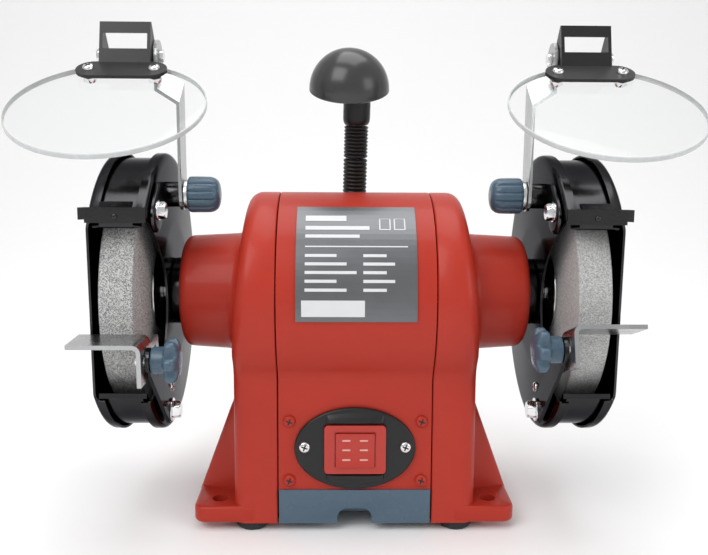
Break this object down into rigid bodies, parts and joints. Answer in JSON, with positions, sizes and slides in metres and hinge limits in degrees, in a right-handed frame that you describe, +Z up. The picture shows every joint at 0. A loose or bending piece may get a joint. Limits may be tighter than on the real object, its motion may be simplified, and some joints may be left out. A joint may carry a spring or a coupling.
{
  "type": "bench grinder",
  "caption": "Bench grinder with guarded abrasive wheels, folding eye shields, adjustable tool rests, a water tray and a gooseneck work lamp.",
  "frame": {"origin": "middle of the outline seen from above, at the level of the bench under the rubber feet", "axes": "+X to the right along the wheel shaft, -Y toward the user, +Z up"},
  "size_m": [0.395, 0.2148, 0.3175],
  "materials": {
    "red_casing": "satin red enamel on cast aluminium",
    "black_guard": "gloss black enamel on pressed sheet",
    "steel_strip": "zinc plated steel strip",
    "zinc_sheet": "galvanised sheet",
    "turned_steel": "turned bright steel",
    "tray_plastic": "moulded slate blue plastic",
    "knob_plastic": "moulded slate blue plastic",
    "black_plastic": "moulded black plastic",
    "lamp_plastic": "semi gloss dark grey plastic",
    "lamp_glass": "frosted diffuser",
    "switch_red": "moulded red plastic",
    "rubber": "moulded rubber",
    "label_plate": "printed metal foil",
    "coarse_stone": "coarse grey abrasive, stands in for bonded stone",
    "fine_stone": "fine light grey abrasive, stands in for bonded stone",
    "clear_lens": "clear polycarbonate",
    "winding": "varnished copper windings on a steel stack",
    "lamination": "stacked steel sheet"
  },
  "bodies": {
    "housing": {"motor_shell": "red_casing", "base_plate": "zinc_sheet", "rating_plate": "label_plate", "switch_bezel": "black_plastic", "switch_frame": "switch_red", "switch_body": "black_plastic", "capacitor": "black_plastic", "cable_gland": "black_plastic", "stator": "winding", "lamp_socket": "black_plastic", "end_bell_left": "red_casing", "rubber_foot_front_left": "rubber", "rubber_foot_back_left": "rubber", "bearing_left": "turned_steel", "guard_inner_cover_left": "black_guard", "guard_band_left": "black_guard", "guard_outer_cover_left": "black_guard", "end_bell_right": "red_casing", "rubber_foot_front_right": "rubber", "rubber_foot_back_right": "rubber", "bearing_right": "turned_steel", "guard_inner_cover_right": "black_guard", "guard_band_right": "black_guard", "guard_outer_cover_right": "black_guard"},
    "rotor": {"shaft": "turned_steel", "rotor_core": "lamination", "grinding_wheel_left": "coarse_stone", "inner_flange_left": "turned_steel", "outer_flange_left": "turned_steel", "spindle_nut_left": "turned_steel", "grinding_wheel_right": "fine_stone", "inner_flange_right": "turned_steel", "outer_flange_right": "turned_steel", "spindle_nut_right": "turned_steel"},
    "tray": {"water_tray": "tray_plastic"},
    "rocker": {"switch_rocker": "switch_red"},
    "lamp_lower": {"lamp_neck_lower": "black_plastic"},
    "lamp_upper": {"lamp_neck_upper": "black_plastic"},
    "lamp_head": {"lamp_shade": "lamp_plastic", "lamp_lens": "lamp_glass"},
    "rest_arm_left": {"rest_bracket_left": "black_guard"},
    "rest_left": {"tool_rest_left": "steel_strip"},
    "rest_clamp_left": {"rest_knob_left": "knob_plastic"},
    "arrester_left": {"spark_arrester_left": "black_guard"},
    "shield_left": {"shield_arm_left": "steel_strip"},
    "shield_clamp_left": {"shield_knob_left": "knob_plastic"},
    "lens_left": {"lens_bracket_left": "black_guard", "eye_shield_left": "clear_lens"},
    "rest_arm_right": {"rest_bracket_right": "black_guard"},
    "rest_right": {"tool_rest_right": "steel_strip"},
    "rest_clamp_right": {"rest_knob_right": "knob_plastic"},
    "arrester_right": {"spark_arrester_right": "black_guard"},
    "shield_right": {"shield_arm_right": "steel_strip"},
    "shield_clamp_right": {"shield_knob_right": "knob_plastic"},
    "lens_right": {"lens_bracket_right": "black_guard", "eye_shield_right": "clear_lens"}
  },
  "joints": [
    {"name": "spindle_spin", "type": "hinge", "parent": "housing", "child": "rotor", "pos_m": [0, 0.01643, 0.1465], "axis": [1, 0, 0], "continuous": true},
    {"name": "tray_slide", "type": "slide", "parent": "housing", "child": "tray", "axis": [0, -1, 0], "range_m": [0, 0.07]},
    {"name": "switch_rock", "type": "hinge", "parent": "housing", "child": "rocker", "pos_m": [0, -0.03928, 0.05555], "axis": [1, 0, 0], "range_deg": [-7, 7]},
    {"name": "rest_bracket_left_swing", "type": "hinge", "parent": "housing", "child": "rest_arm_left", "pos_m": [-0.11915, -0.01857, 0.075], "axis": [1, 0, 0], "range_deg": [0, 10]},
    {"name": "tool_rest_left_slide", "type": "slide", "parent": "rest_arm_left", "child": "rest_left", "axis": [0, -1, 0], "range_m": [-0.0015, 0.018]},
    {"name": "rest_knob_left_turn", "type": "hinge", "parent": "rest_arm_left", "child": "rest_clamp_left", "pos_m": [-0.11, -0.07257, 0.122], "axis": [1, 0, 0], "range_deg": [-180, 180]},
    {"name": "spark_arrester_left_slide", "type": "slide", "parent": "housing", "child": "arrester_left", "axis": [0, 0, -1], "range_m": [0, 0.005]},
    {"name": "shield_arm_left_swing", "type": "hinge", "parent": "housing", "child": "shield_left", "pos_m": [-0.11, -0.00157, 0.212], "axis": [1, 0, 0], "range_deg": [-25, 20]},
    {"name": "shield_knob_left_turn", "type": "hinge", "parent": "housing", "child": "shield_clamp_left", "pos_m": [-0.1, -0.00157, 0.212], "axis": [1, 0, 0], "range_deg": [-180, 180]},
    {"name": "lens_left_tilt", "type": "hinge", "parent": "shield_left", "child": "lens_left", "pos_m": [-0.1415, 0.00445, 0.298], "axis": [1, 0, 0], "range_deg": [-20, 15]},
    {"name": "rest_bracket_right_swing", "type": "hinge", "parent": "housing", "child": "rest_arm_right", "pos_m": [0.11915, -0.01857, 0.075], "axis": [1, 0, 0], "range_deg": [0, 10]},
    {"name": "tool_rest_right_slide", "type": "slide", "parent": "rest_arm_right", "child": "rest_right", "axis": [0, -0.9397, 0.342], "range_m": [-0.0015, 0.018]},
    {"name": "rest_knob_right_turn", "type": "hinge", "parent": "rest_arm_right", "child": "rest_clamp_right", "pos_m": [0.11, -0.07357, 0.129], "axis": [1, 0, 0], "range_deg": [-180, 180]},
    {"name": "spark_arrester_right_slide", "type": "slide", "parent": "housing", "child": "arrester_right", "axis": [0, 0, -1], "range_m": [0, 0.005]},
    {"name": "shield_arm_right_swing", "type": "hinge", "parent": "housing", "child": "shield_right", "pos_m": [0.11, -0.00157, 0.212], "axis": [1, 0, 0], "range_deg": [-25, 20]},
    {"name": "shield_knob_right_turn", "type": "hinge", "parent": "housing", "child": "shield_clamp_right", "pos_m": [0.1, -0.00157, 0.212], "axis": [1, 0, 0], "range_deg": [-180, 180]},
    {"name": "lens_right_tilt", "type": "hinge", "parent": "shield_right", "child": "lens_right", "pos_m": [0.1415, 0.00445, 0.298], "axis": [1, 0, 0], "range_deg": [-20, 15]},
    {"name": "lamp_lower_bend", "type": "hinge", "parent": "housing", "child": "lamp_lower", "pos_m": [0.0005, 0.06143, 0.209], "axis": [1, 0, 0], "range_deg": [-15, 15]},
    {"name": "lamp_upper_bend", "type": "hinge", "parent": "lamp_lower", "child": "lamp_upper", "pos_m": [0.001, 0.05846, 0.23382], "axis": [1, 0, 0], "range_deg": [-15, 15]},
    {"name": "lamp_shade_tilt", "type": "hinge", "parent": "lamp_upper", "child": "lamp_head", "pos_m": [0.00145, 0.05572, 0.25665], "axis": [1, 0, 0], "range_deg": [-20, 20]}
  ]
}
